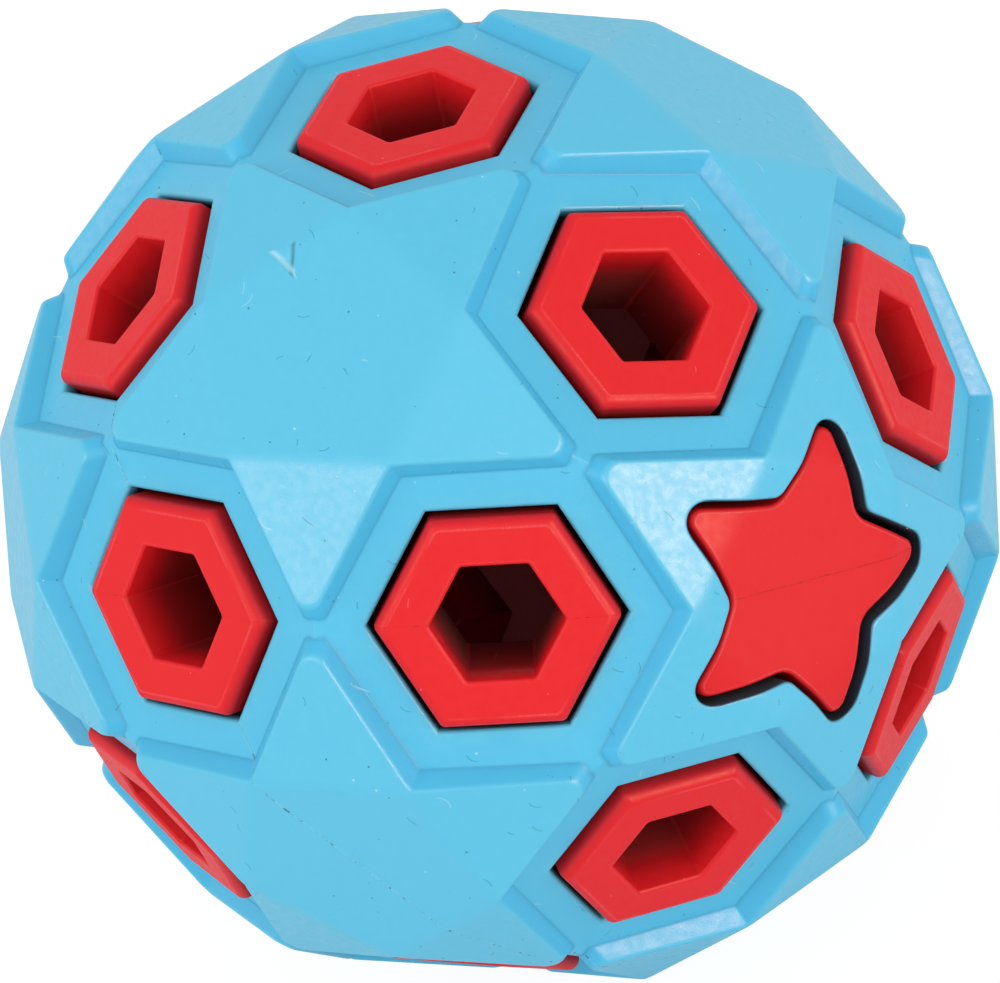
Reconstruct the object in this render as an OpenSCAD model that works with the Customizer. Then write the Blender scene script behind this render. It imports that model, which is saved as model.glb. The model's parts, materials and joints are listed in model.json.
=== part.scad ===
/* [Ball] */
// Across the ball, from a corner of one flat to the opposite corner
ball_d = 90; // [75:1:120]
// Reach of a five-sided flat, from its middle to a corner
flat_r = 12.25; // [11:0.05:13.5]
// Angle by which the spike facets round a flat lean down from it
spike_lean = 21.4; // [19:0.1:24]

/* [Recesses] */
// Depth of a recess, from the corners of the flats to its floor
recess_depth = 1.57; // [1.2:0.01:2.2]
// Width of a recess's sloping wall, seen square on
recess_run = 1.45; // [0.8:0.05:1.8]
// Gap between two spike tips that face each other, as if they were sharp
tip_gap = 1.3; // [0.6:0.1:7]
// Distance between the corner of a flat and the rim of the recess beside it
corner_land = 0.15; // [0.05:0.05:0.6]
// Width of the level neck that joins two recesses and blunts the spike tips beside it
neck_w = 1.84; // [0.6:0.02:4]
// Width of a neck's sloping side, seen square on
neck_run = 1.9; // [1:0.1:3]

/* [Tubes] */
// Across the corners of a tube
tube_w = 20.8; // [17:0.1:21.2]
// Across the corners of the hole in a tube
tube_hole_w = 11.46; // [7:0.02:15]
// How far a tube's end stands above the floor of its recess
tube_rise = 1.26; // [0:0.02:1.5]
// Gap between the side of a tube and its window in the shell
window_gap = 0.53; // [0.2:0.01:1]

/* [Stars] */
// Reach of a star from its middle to a tip, as if the tips were sharp
star_tip_r = 14.3; // [11:0.1:15]
// Reach of a star from its middle to a hollow between two tips, as if it were sharp
star_notch_r = 7.6; // [6:0.1:10]
// Rounding of a star's tips
star_tip_round = 1.1; // [0.4:0.1:1.5]
// Rounding of the hollows between a star's tips
star_notch_round = 2.4; // [0.4:0.1:3]
// How far a star's face lies under the surface of the shell
star_drop = 0.6; // [0.1:0.1:1.5]
// Gap between the side of a star and its window in the shell
star_gap = 0.65; // [0.2:0.05:1]

/* [Walls] */
// Thickness of the shell under the floor of a recess
shell_wall = 4.28; // [3:0.02:5]
// Play between the shell and the core inside it
core_gap = 0.3; // [0.1:0.05:0.6]
// Thickness of the core's wall
core_wall = 5.3; // [3:0.1:7]
// Distance of the seams from the middle of the ball, so that they miss the corners of the tubes
seam_shift = 0.1; // [0.05:0.05:0.5]

/* [Hidden] */
$fn = 96;
ball_r = ball_d / 2;
arc_steps = 32;
// How far a cut runs past what it cuts
overrun = 1;

// Angles from the upright axis to the rings of flats and of tubes
flat_polar = [acos(sqrt((5 + 2 * sqrt(5)) / 15)), acos(sqrt((5 - 2 * sqrt(5)) / 15))];
tube_polar = [acos(sqrt(5) / 3), acos(1 / 3)];
// Angle round the upright axis from a flat to the nearest tubes of the outer rings
tube_turn = 60 - atan(sqrt(3 / 5));
// Direction of the front, -Y, and the turn from one flat of a ring to the next
front = -90;
third = 120;

function unit(v) = v / norm(v);
function aim(polar, azimuth) = [sin(polar) * cos(azimuth), sin(polar) * sin(azimuth), cos(polar)];
function ring(polar, azimuth) = [for (i = [0 : 2]) aim(polar, azimuth + third * i)];

// Middles of the twelve plain flats, as directions from the middle of the ball
flats = concat(
    ring(flat_polar[0], front),
    ring(flat_polar[1], front + third / 2),
    ring(180 - flat_polar[1], front),
    ring(180 - flat_polar[0], front + third / 2)
);

// Each tube's name and direction, in rings from top to bottom
function tube_trio(name, polar, azimuth) = [
    for (i = [0 : 2]) [str(name, "_", i + 1), aim(polar, azimuth + third * i)]
];
function tube_six(name, polar, azimuth) = [
    for (i = [0 : 2], side = [-1, 1])
        [str(name, "_", 2 * i + (side + 3) / 2), aim(polar, azimuth + third * i + side * tube_turn)]
];
tubes = concat(
    [["tube_top", aim(0, 0)]],
    tube_trio("tube_upper", tube_polar[0], front + third / 2),
    tube_six("tube_upper_side", tube_polar[1], front),
    tube_six("tube_lower_side", 180 - tube_polar[1], front + third / 2),
    tube_trio("tube_lower", 180 - tube_polar[0], front),
    [["tube_bottom", aim(180, 0)]]
);

// The flats that hold a star: one to the right of the front, and its opposite
star_front_axis = flats[3];
star_rear_axis = -star_front_axis;
// Seams: each splits a shell or a core through the middle of the ball
shell_seam_axis = unit(flats[3] + flats[1]);
core_seam_axis = unit(flats[1] + flats[2]);

// The turn between two flats beside each other, and a slack for telling directions apart
flat_turn = acos(1 / sqrt(5));
angle_slack = 1;
function turn_between(a, b) = acos(max(-1, min(1, a * b)));

// The first flat beside a direction, which fixes how a shape is turned round it
function flat_beside(axis) = [
    for (f = flats)
        let (turn = turn_between(f, axis))
        if (turn > angle_slack && turn < flat_turn + angle_slack) f
][0];

// Flats and the corners of the five-sided outline round each
flat_h = sqrt(pow(ball_r, 2) - pow(flat_r, 2));
flat_edge_r = flat_r * cos(36);
corners = [
    for (f = flats, t = tubes) if (turn_between(f, t[1]) < flat_polar[0] + angle_slack)
        flat_h * f + flat_r * unit(t[1] - (t[1] * f) * f)
];
corner_h = flat_h * cos(flat_polar[0]) + flat_r * sin(flat_polar[0]);
corner_r = flat_h * sin(flat_polar[0]) - flat_r * cos(flat_polar[0]);

// Spike facets: how far their planes lie from the middle, and the point over each tube where they meet
spike_h = flat_h * cos(spike_lean) + flat_edge_r * sin(spike_lean);
peak_h = spike_h / (cos(spike_lean) * cos(flat_polar[0]) + sin(spike_lean) * sin(flat_polar[0]) * cos(36));
peaks = [for (t = tubes) peak_h * t[1]];

// A spike's tip, first beside the bridge between two flats, then as seen from a tube on that bridge
bridge_angle = flat_turn / 2;
tip_turn = bridge_angle - spike_lean;
tip_bridge_h = (spike_h - sin(tip_turn) * tip_gap / 2) / cos(tip_turn);
tube_to_bridge = tube_polar[0] / 2;
tip_h = tip_bridge_h * cos(tube_to_bridge);
tip_to_bridge = tip_bridge_h * sin(tube_to_bridge);
tip_x = tip_to_bridge * cos(60) + tip_gap / 2 * sin(60);
tip_y = tip_to_bridge * sin(60) - tip_gap / 2 * cos(60);

// A recess's walls lean out, through a point beside a flat's corner and through a spike's tip
floor_h = corner_h - recess_depth;
recess_slope = recess_run / recess_depth;
rim_r = corner_r - corner_land;
rim_h = corner_h + corner_land * (peak_h - corner_h) / corner_r;
rim_line = [rim_r - tip_x, -tip_y];
wall_turn = acos(recess_slope * (rim_h - tip_h) / norm(rim_line)) + atan2(rim_line[1], rim_line[0]);
floor_edge_r = rim_r * cos(wall_turn) - recess_slope * (rim_h - floor_h);

// A neck runs from inside its recess to the middle of the bridge and widens upwards
neck_end_r = floor_h * tan(tube_to_bridge) + overrun;
neck_top_w = neck_w + 2 * (peak_h - floor_h) * neck_run / recess_depth;

// Tubes and their windows
tube_r = tube_w / 2;
tube_top_h = floor_h + tube_rise;
window_r = tube_r + window_gap / cos(30);

// Walls, from the outside in
shell_in_r = floor_h - shell_wall;
core_r = shell_in_r - core_gap;
cavity_r = core_r - core_wall;

// A star stands on a flat seat cut into the outside of the core
star_seat_h = sqrt(pow(core_r, 2) - pow(star_tip_r, 2));
star_face_share = (flat_h - star_drop) / flat_h;

// Puts what is drawn along +Z onto a direction, with +X turned towards the flat beside it
module on_axis(axis) {
    beside = flat_beside(axis);
    x = unit(beside - (beside * axis) * axis);
    y = cross(axis, x);
    multmatrix([
        [x[0], y[0], axis[0], 0],
        [x[1], y[1], axis[1], 0],
        [x[2], y[2], axis[2], 0],
        [0, 0, 0, 1]
    ]) children();
}

// Lifts the middle of the ball to where it lies when the ball stands on the rim of a recess
module stand() {
    translate([0, 0, rim_h]) children();
}

// Half of all space: with side 1 what lies on the side of a seam that its axis points to, with -1 the rest
module seam_side(axis, side) {
    block = ball_d + 2 * overrun;
    on_axis(axis) translate([0, 0, seam_shift + side * block / 2]) cube(block, center = true);
}

// The outside of the ball before anything is cut: twelve flats, each with five spike facets
module faceted_ball() {
    points = concat(corners, peaks);
    hull() polyhedron(points, [[for (i = [0 : len(points) - 1]) i]]);
}

// Six points of a recess's outline at a height above the middle of the ball
function recess_outline(height) = [
    for (i = [0 : 5])
        let (
            edge_r = floor_edge_r + (height - floor_h) * recess_slope,
            reach = edge_r / cos(i % 2 == 0 ? wall_turn : 60 - wall_turn)
        )
        [reach * cos(60 * i), reach * sin(60 * i), height]
];

// A six-sided recess with sloping walls
module recess() {
    points = concat(recess_outline(floor_h), recess_outline(peak_h));
    sides = [for (i = [0 : 5]) [i, i + 6, (i + 1) % 6 + 6, (i + 1) % 6]];
    polyhedron(points, concat([[0, 1, 2, 3, 4, 5]], [[11, 10, 9, 8, 7, 6]], sides));
}

// One of the three necks of a recess, along +X
module neck() {
    profile = [
        [-neck_w / 2, floor_h], [neck_w / 2, floor_h],
        [neck_top_w / 2, peak_h], [-neck_top_w / 2, peak_h]
    ];
    translate([floor_edge_r, 0, 0]) rotate([90, 0, 90])
        linear_extrude(height = neck_end_r - floor_edge_r) polygon(profile);
}

// A six-sided bar from the middle of the ball outwards
module hex_bar(reach, height) {
    cylinder(r = reach, h = height, $fn = 6);
}

// A star's outline, grown by a gap for its window
module star_outline(gap = 0) {
    points = [
        for (i = [0 : 9])
            let (reach = i % 2 == 0 ? star_tip_r : star_notch_r)
            [reach * cos(36 * i), reach * sin(36 * i)]
    ];
    offset(r = gap - star_notch_round, $fn = arc_steps)
        offset(r = star_notch_round + star_tip_round, $fn = arc_steps)
        offset(delta = -star_tip_round)
        polygon(points);
}

module shell() {
    color([0.37, 0.78, 0.92]) difference() {
        faceted_ball();
        sphere(r = shell_in_r);
        for (t = tubes) on_axis(t[1]) {
            recess();
            for (i = [0 : 2]) rotate(60 + third * i) neck();
            hex_bar(window_r, ball_d);
        }
        for (axis = [star_front_axis, star_rear_axis]) on_axis(axis)
            linear_extrude(height = ball_d) star_outline(star_gap);
    }
}

module core_wall() {
    color([0.86, 0.16, 0.18]) difference() {
        sphere(r = core_r);
        sphere(r = cavity_r);
        for (t = tubes) on_axis(t[1]) hex_bar(tube_r, ball_d);
        for (axis = [star_front_axis, star_rear_axis]) on_axis(axis)
            translate([-ball_r, -ball_r, star_seat_h]) cube(ball_d);
    }
}

// Half of the blue shell, which is two equal mouldings joined at a seam
module shell_half(side) {
    stand() intersection() {
        shell();
        seam_side(shell_seam_axis, side);
    }
}

// Half of the wall of the red core
module core_half(side) {
    stand() intersection() {
        core_wall();
        seam_side(core_seam_axis, side);
    }
}

// A solid star that fills its window in the shell and follows the facets round it
module star(axis) {
    color([0.93, 0.18, 0.2]) stand() intersection() {
        scale(star_face_share) faceted_ball();
        on_axis(axis) translate([0, 0, star_seat_h])
            linear_extrude(height = ball_r - star_seat_h) star_outline();
    }
}

// A six-sided tube from the hollow of the core out through its window
module tube(axis) {
    color([0.93, 0.18, 0.2]) stand() on_axis(axis) difference() {
        hex_bar(tube_r, tube_top_h);
        hex_bar(tube_hole_w / 2, ball_r);
        sphere(r = cavity_r);
    }
}

shell_half(1);  // shell_half_front
shell_half(-1);  // shell_half_rear
core_half(1);  // core_half_upper
core_half(-1);  // core_half_lower
star(star_front_axis);  // star_front
star(star_rear_axis);  // star_rear
for (t = tubes) tube(t[1]);
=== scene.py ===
import json
from math import acos, atan, atan2, cos, degrees, hypot, pi, radians, sin, sqrt, tan

import bmesh
import bpy
from mathutils import Matrix, Vector

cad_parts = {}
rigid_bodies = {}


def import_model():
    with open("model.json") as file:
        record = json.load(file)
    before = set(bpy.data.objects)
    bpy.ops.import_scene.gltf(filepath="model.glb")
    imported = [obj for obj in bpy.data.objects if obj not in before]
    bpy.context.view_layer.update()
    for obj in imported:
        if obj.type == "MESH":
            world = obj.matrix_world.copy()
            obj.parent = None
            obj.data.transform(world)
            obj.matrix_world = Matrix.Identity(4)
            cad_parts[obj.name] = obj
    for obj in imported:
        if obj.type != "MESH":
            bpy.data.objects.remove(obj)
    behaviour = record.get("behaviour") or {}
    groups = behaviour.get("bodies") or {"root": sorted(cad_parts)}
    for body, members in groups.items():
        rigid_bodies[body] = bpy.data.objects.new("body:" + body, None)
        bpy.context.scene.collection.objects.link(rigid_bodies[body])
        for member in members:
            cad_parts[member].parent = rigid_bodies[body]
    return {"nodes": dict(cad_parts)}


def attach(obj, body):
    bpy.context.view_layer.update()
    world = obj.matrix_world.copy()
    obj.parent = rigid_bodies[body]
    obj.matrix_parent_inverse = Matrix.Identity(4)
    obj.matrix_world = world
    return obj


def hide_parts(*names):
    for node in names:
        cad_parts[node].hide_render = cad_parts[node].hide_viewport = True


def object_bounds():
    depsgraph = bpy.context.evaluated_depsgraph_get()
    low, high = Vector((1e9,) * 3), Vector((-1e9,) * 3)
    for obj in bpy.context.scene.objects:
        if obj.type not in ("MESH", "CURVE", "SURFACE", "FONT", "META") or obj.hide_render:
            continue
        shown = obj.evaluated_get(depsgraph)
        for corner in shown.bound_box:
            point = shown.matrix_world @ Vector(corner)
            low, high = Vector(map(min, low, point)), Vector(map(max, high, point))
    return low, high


for startThing in list(bpy.data.objects):
    bpy.data.objects.remove(startThing)
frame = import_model()
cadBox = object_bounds()
mm = 0.001
samePlace = 0.002 * mm         # points this close are one
onCut = 0.0005 * mm            # points this close to a cut lie on it
farOff = 1.0                   # metres, where a ray never meets a plane

# The ball as a whole: twelve flats, each with five spikes round it, and twenty tubes between them
ball = {
    "across": 90 * mm,         # corner of a flat to the opposite corner
    "flatReach": 12.25 * mm,   # middle of a flat to one of its corners
    "spikeLean": 21.4,         # degrees by which a spike leans down from its flat
    "pocketDeep": 1.57 * mm,   # corners of the flats down to the floor of a pocket
    "pocketRun": 1.45 * mm,    # width of a pocket's sloping wall
    "tipGap": 1.3 * mm,        # between two spikes that face each other, as if they were sharp
    "neckWide": 1.84 * mm,     # between the feet of two such spikes, whose noses are round
    "cornerLand": 0.15 * mm,   # corner of a flat to the rim of the pocket beside it
    "windowGap": 0.53 * mm,    # between a tube and its window
    "shellThick": 4.28 * mm,   # under the floor of a pocket
    "corePlay": 0.3 * mm,      # between the shell and the core in it
    "coreThick": 5.3 * mm,
    "seamShift": 0.1 * mm,     # of both seams, from the middle of the ball
}
ballMiddle = (cadBox[0] + cadBox[1]) / 2


def aim(polar, azimuth):
    return Vector((sin(polar) * cos(azimuth), sin(polar) * sin(azimuth), cos(polar)))


def aimRing(polar, azimuths):
    return [aim(polar, radians(azimuth)) for azimuth in azimuths]


# Directions of the flats and tubes, in rings from the top of the ball to the bottom
flatPolar = [acos(sqrt((5 + side * 2 * sqrt(5)) / 15)) for side in (1, -1)]
tubePolar = [acos(sqrt(5) / 3), acos(1 / 3)]
thirds, turnedThirds = (-90, 30, 150), (-30, 90, 210)
flats = aimRing(flatPolar[0], thirds) + aimRing(flatPolar[1], turnedThirds)
flats += aimRing(pi - flatPolar[1], thirds) + aimRing(pi - flatPolar[0], turnedThirds)
tubeTurn = 60 - degrees(atan(sqrt(3 / 5)))


def pairsBeside(azimuths):
    return [azimuth + side * tubeTurn for azimuth in azimuths for side in (-1, 1)]


tubeRings = {
    "tube_upper": aimRing(tubePolar[0], turnedThirds),
    "tube_upper_side": aimRing(tubePolar[1], pairsBeside(thirds)),
    "tube_lower_side": aimRing(pi - tubePolar[1], pairsBeside(turnedThirds)),
    "tube_lower": aimRing(pi - tubePolar[0], thirds),
}
tubeAxes = {"tube_top": Vector((0, 0, 1)), "tube_bottom": Vector((0, 0, -1))}
for name, axes in tubeRings.items():
    tubeAxes |= {name + "_" + str(i + 1): axis for i, axis in enumerate(axes)}
starAxes = {"star_front": flats[3], "star_rear": -flats[3]}
shellSeam = (flats[3] + flats[1]).normalized()
coreSeam = (flats[1] + flats[2]).normalized()


# The turn that brings +Z onto a direction, and +X towards the flat beside it. Between neighbours the
# cosine is 0.45 for two flats and 0.79 for a flat and a tube.
def turnTo(axis):
    beside = next(f for f in flats if 0.4 < f.dot(axis) < 0.9)
    x = (beside - beside.dot(axis) * axis).normalized()
    return Matrix((x, axis.cross(x), axis)).transposed().to_4x4()


print("layout:", len(flats), "flats and", len(tubeAxes), "tubes")


# Colour given as it is read off a screen, 0 to 255
def paint(red, green, blue):
    return tuple(((c / 255 + 0.055) / 1.055) ** 2.4 for c in (red, green, blue)) + (1,)


# Adds a node, sets its properties and inputs, and links what is a socket
def addNode(tree, kind, inputs=(), **settings):
    node = tree.nodes.new(kind)
    for name, value in settings.items():
        setattr(node, name, value)
    for name, value in dict(inputs).items():
        if isinstance(value, bpy.types.NodeSocket):
            tree.links.new(value, node.inputs[name])
        else:
            node.inputs[name].default_value = value
    return node


def mathNode(tree, operation, first, second=0.0, third=0.0):
    node = addNode(tree, "ShaderNodeMath", {0: first, 1: second, 2: third}, operation=operation)
    return node.outputs[0]


def rangeNode(tree, value, low, high, toLow=0.0, toHigh=1.0):
    inputs = {"Value": value, "From Min": low, "From Max": high, "To Min": toLow, "To Max": toHigh}
    node = addNode(tree, "ShaderNodeMapRange", inputs, interpolation_type="SMOOTHSTEP")
    return node.outputs["Result"]


# The sockets of a Mix node for colours go by number: 0 is the factor, 6 and 7 the colours
def mixColours(tree, share, first, second):
    node = addNode(tree, "ShaderNodeMix", {0: share, 6: first, 7: second}, data_type="RGBA")
    return node.outputs[2]


def vectorNode(tree, operation, first, second=(0, 0, 0)):
    node = addNode(tree, "ShaderNodeVectorMath", {0: first, 1: second}, operation=operation)
    return node.outputs["Value" if operation in ("DOT_PRODUCT", "LENGTH") else "Vector"]


def scaleNode(tree, place, scale):
    node = addNode(tree, "ShaderNodeVectorMath", {0: place, "Scale": scale}, operation="SCALE")
    return node.outputs["Vector"]


def noiseNode(tree, place, scale, detail):
    node = addNode(tree, "ShaderNodeTexNoise", {"Vector": place, "Scale": scale, "Detail": detail})
    return node.outputs[0]


# A scattered grid: where each cell's middle is, how far that is, and three chances from its colour
def scatterNodes(tree, place, scale):
    cells = addNode(tree, "ShaderNodeTexVoronoi", {"Vector": place, "Scale": scale, "Randomness": 1.0})
    chance = addNode(tree, "ShaderNodeSeparateColor", {"Color": cells.outputs["Color"]})
    return cells, chance


def newGroup(name, inputs, outputs):
    group = bpy.data.node_groups.new(name, "ShaderNodeTree")
    for socketName, kind in inputs.items():
        group.interface.new_socket(socketName, in_out="INPUT", socket_type=kind)
    for socketName, kind in outputs.items():
        group.interface.new_socket(socketName, in_out="OUTPUT", socket_type=kind)
    return group, group.nodes.new("NodeGroupInput"), group.nodes.new("NodeGroupOutput")


number, vector = "NodeSocketFloat", "NodeSocketVector"


speck = {
    "smallest": 0.35,          # size of the smallest, beside the largest
    "softRim": 0.5,            # share of its size over which a speck fades out
}


# Specks of dust: one in some of the cells of a scattered grid
def makeSpeckGroup():
    group, given, result = newGroup(
        "dustSpecks",
        {"Place": vector, "Cells per mm": number, "Filled share": number, "Size": number},
        {"Mask": number},
    )
    cells, chance = scatterNodes(group, given.outputs["Place"], given.outputs["Cells per mm"])
    filled = mathNode(group, "LESS_THAN", chance.outputs["Red"], given.outputs["Filled share"])
    share = rangeNode(group, chance.outputs["Green"], 0.0, 1.0, speck["smallest"], 1.0)
    size = mathNode(group, "MULTIPLY", given.outputs["Size"], share)
    inside = mathNode(group, "SUBTRACT", size, cells.outputs["Distance"])
    soft = mathNode(group, "DIVIDE", inside, mathNode(group, "MULTIPLY", size, speck["softRim"]))
    clipped = addNode(group, "ShaderNodeClamp", {"Value": soft}).outputs[0]
    group.links.new(mathNode(group, "MULTIPLY", clipped, filled), result.inputs["Mask"])
    return group


fibre = {
    "shortest": 0.4,           # length of the shortest, beside the longest
    "bend": 1.6,               # to one side or the other, by chance
}


# Lint: a short bent fibre in some of the cells of a scattered grid
def makeLintGroup():
    group, given, result = newGroup(
        "lintFibres",
        {"Place": vector, "Cells per mm": number, "Filled share": number, "Thick": number, "Long": number},
        {"Mask": number},
    )
    place = given.outputs["Place"]
    cells, chance = scatterNodes(group, place, given.outputs["Cells per mm"])
    fromCell = vectorNode(group, "SUBTRACT", place, cells.outputs["Position"])
    near = scaleNode(group, fromCell, given.outputs["Cells per mm"])
    chosen = vectorNode(group, "SUBTRACT", cells.outputs["Color"], (0.5, 0.5, 0.5))
    across = vectorNode(group, "NORMALIZE", vectorNode(group, "CROSS_PRODUCT", chosen, place))
    along = vectorNode(group, "NORMALIZE", vectorNode(group, "CROSS_PRODUCT", across, place))
    sideways = vectorNode(group, "DOT_PRODUCT", near, across)
    lengthways = vectorNode(group, "DOT_PRODUCT", near, along)
    curve = mathNode(group, "POWER", mathNode(group, "ABSOLUTE", lengthways), 2.0)
    bend = rangeNode(group, chance.outputs["Green"], 0.0, 1.0, -fibre["bend"], fibre["bend"])
    line = mathNode(group, "ABSOLUTE", mathNode(group, "MULTIPLY_ADD", curve, bend, sideways))
    thin = rangeNode(group, line, given.outputs["Thick"], 0.0)
    share = rangeNode(group, chance.outputs["Red"], 0.0, 1.0, fibre["shortest"], 1.0)
    long = mathNode(group, "MULTIPLY", given.outputs["Long"], share)
    short = mathNode(group, "LESS_THAN", vectorNode(group, "LENGTH", near), long)
    filled = mathNode(group, "LESS_THAN", chance.outputs["Blue"], given.outputs["Filled share"])
    both = mathNode(group, "MULTIPLY", thin, mathNode(group, "MULTIPLY", short, filled))
    group.links.new(both, result.inputs["Mask"])
    return group


skin = {                       # noise scales, per mm
    "grain": 9.0,
    "waves": 0.55,
    "cloud": 1.3,
    "cloudSpan": (0.3, 0.7),   # of the noise, for the roughness
    "patch": 0.16,
    "patchSpan": (0.38, 0.58), # of the noise, from unworn to worn
    "bump": 0.02 * mm,
}


# The skin of moulded rubber: fine grain on faint waves, and patches where it is worn
def makeGrainGroup():
    group, given, result = newGroup(
        "mouldedGrain",
        {"Place": vector, "Grain": number, "Waves": number},
        {"Height": number, "Cloud": number, "Patch": number},
    )
    place = given.outputs["Place"]
    grain = noiseNode(group, place, skin["grain"], 3.0)
    waves = noiseNode(group, place, skin["waves"], 2.0)
    height = mathNode(group, "MULTIPLY", grain, given.outputs["Grain"])
    height = mathNode(group, "MULTIPLY_ADD", waves, given.outputs["Waves"], height)
    patch = rangeNode(group, noiseNode(group, place, skin["patch"], 1.0), *skin["patchSpan"])
    group.links.new(height, result.inputs["Height"])
    group.links.new(noiseNode(group, place, skin["cloud"], 4.0), result.inputs["Cloud"])
    group.links.new(patch, result.inputs["Patch"])
    return group


seam = {                       # noise scales, per mm
    "sway": 0.25,              # mm to the side
    "swayScale": 1.1,
    "gapScale": 3.0,
    "gapSpan": (0.38, 0.56),   # of the noise, from broken to whole
    "pitCells": 0.9,
    "pitSmallest": 0.5,        # beside the largest
    "pitSoft": 0.4,            # share of a pit that is fully dark
    "spotScale": 2.2,
    "spotSpan": (0.62, 0.68),  # of the noise, from no pits to pits
}


# The line where two mouldings meet: a thin raised thread, rubbed pale, with dark pits along it
def makeSeamGroup():
    group, given, result = newGroup(
        "seamLine",
        {"Place": vector, "Across": vector, "Shift": number, "Wide": number, "Pit": number},
        {"Thread": number, "Pits": number},
    )
    place = given.outputs["Place"]
    off = vectorNode(group, "DOT_PRODUCT", place, given.outputs["Across"])
    off = mathNode(group, "SUBTRACT", off, given.outputs["Shift"])
    sway = mathNode(group, "SUBTRACT", noiseNode(group, place, seam["swayScale"], 3.0), 0.5)
    off = mathNode(group, "ABSOLUTE", mathNode(group, "MULTIPLY_ADD", sway, seam["sway"], off))
    unbroken = rangeNode(group, noiseNode(group, place, seam["gapScale"], 2.0), *seam["gapSpan"])
    thread = mathNode(group, "MULTIPLY", rangeNode(group, off, given.outputs["Wide"], 0.0), unbroken)
    chance = scatterNodes(group, place, seam["pitCells"])[1]
    share = rangeNode(group, chance.outputs["Green"], 0.0, 1.0, seam["pitSmallest"], 1.0)
    size = mathNode(group, "MULTIPLY", given.outputs["Pit"], share)
    pit = rangeNode(group, off, size, mathNode(group, "MULTIPLY", size, seam["pitSoft"]))
    spots = rangeNode(group, noiseNode(group, place, seam["spotScale"], 0.0), *seam["spotSpan"])
    group.links.new(thread, result.inputs["Thread"])
    group.links.new(mathNode(group, "MULTIPLY", pit, spots), result.inputs["Pits"])
    return group


speckGroup, lintGroup, grainGroup = makeSpeckGroup(), makeLintGroup(), makeGrainGroup()
seamGroup = makeSeamGroup()


def placeGroup(tree, group, inputs):
    return addNode(tree, "ShaderNodeGroup", inputs, node_tree=group).outputs


rubbed = {                     # specks that break up the pale line along an edge, which is partly wear and partly painted highlight
    "cells": 5.0,              # per mm
    "share": 0.55,
    "size": 0.5,
    "strength": 0.5,
}


# Satin rubber with dust and lint, pale edges that are partly wear and partly painted highlight, and painted
# shade where it lies deep or is marked as shaded
def makeRubber(name, look):
    material = bpy.data.materials.new(name)
    material.use_nodes = True
    tree = material.node_tree
    shader = tree.nodes["Principled BSDF"]

    def painted(key):
        return addNode(tree, "ShaderNodeAttribute", attribute_name=key).outputs["Fac"]

    def cover(under, mask, strength, over):
        return mixColours(tree, mathNode(tree, "MULTIPLY", mask, strength), under, over)

    def specksOf(dust):
        return placeGroup(tree, speckGroup, {
            "Place": place, "Cells per mm": dust["cells"],
            "Filled share": dust["share"], "Size": dust["size"],
        })["Mask"]

    where = addNode(tree, "ShaderNodeTexCoord").outputs["Object"]
    place = scaleNode(tree, vectorNode(tree, "SUBTRACT", where, ballMiddle), 1 / mm)
    grain = placeGroup(tree, grainGroup, {"Place": place, "Grain": look["grain"], "Waves": look["waves"]})
    colour = mixColours(tree, grain["Cloud"], look["colour"], look["colourPatches"])
    # Painted shade: darker the nearer a point lies to the middle of the ball, and where the sunk attribute
    # marks a shaded place
    low = rangeNode(tree, vectorNode(tree, "LENGTH", place), look["deepTo"], look["deepFrom"], 1.0, 0.0)
    deep = mathNode(tree, "MAXIMUM", low, painted("sunk"))
    colour = cover(colour, deep, look["paintedShadeShare"], look["colourPaintedShade"])
    matt = deep
    for shade in look["shades"]:
        mask = painted(shade["from"])
        colour = cover(colour, mask, shade["share"], shade["colour"])
        matt = mathNode(tree, "MAXIMUM", matt, mathNode(tree, "MULTIPLY", mask, shade["matt"]))
    # Pale edges: partly wear, partly painted highlight; the nick's scuff is wear
    wornAndHighlight = mathNode(tree, "MULTIPLY_ADD", specksOf(rubbed), rubbed["strength"], look["edgeWearAndHighlight"])
    wornAndHighlight = mathNode(tree, "MULTIPLY", wornAndHighlight, mathNode(tree, "MULTIPLY", painted("edge"), grain["Patch"]))
    wornAndHighlight = mathNode(tree, "MAXIMUM", wornAndHighlight, painted("scuff"))
    colour = mixColours(tree, wornAndHighlight, colour, look["colourWearAndHighlight"])
    for dust in look["dust"]:
        colour = cover(colour, specksOf(dust), dust["strength"], dust["colour"])
    for lint in look["lint"]:
        fibres = placeGroup(tree, lintGroup, {
            "Place": place, "Cells per mm": lint["cells"], "Filled share": lint["share"],
            "Thick": lint["thick"], "Long": lint["long"],
        })
        colour = cover(colour, fibres["Mask"], lint["strength"], lint["colour"])
    line = placeGroup(tree, seamGroup, {
        "Place": place, "Across": look["seam"], "Shift": ball["seamShift"] / mm,
        "Wide": look["seamWide"], "Pit": look["seamPit"],
    })
    colour = cover(colour, line["Thread"], look["seamStrength"], look["colourSeam"])
    colour = cover(colour, line["Pits"], look["pitStrength"], look["colourPit"])
    tree.links.new(colour, shader.inputs["Base Color"])
    rough = rangeNode(tree, grain["Cloud"], *skin["cloudSpan"], *look["roughness"])
    tree.links.new(mathNode(tree, "MAXIMUM", rough, matt), shader.inputs["Roughness"])
    bump = addNode(tree, "ShaderNodeBump", {
        "Height": grain["Height"], "Distance": skin["bump"], "Strength": 1.0,
    })
    tree.links.new(bump.outputs["Normal"], shader.inputs["Normal"])
    shader.inputs["Specular IOR Level"].default_value = look["gloss"]
    return material


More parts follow.
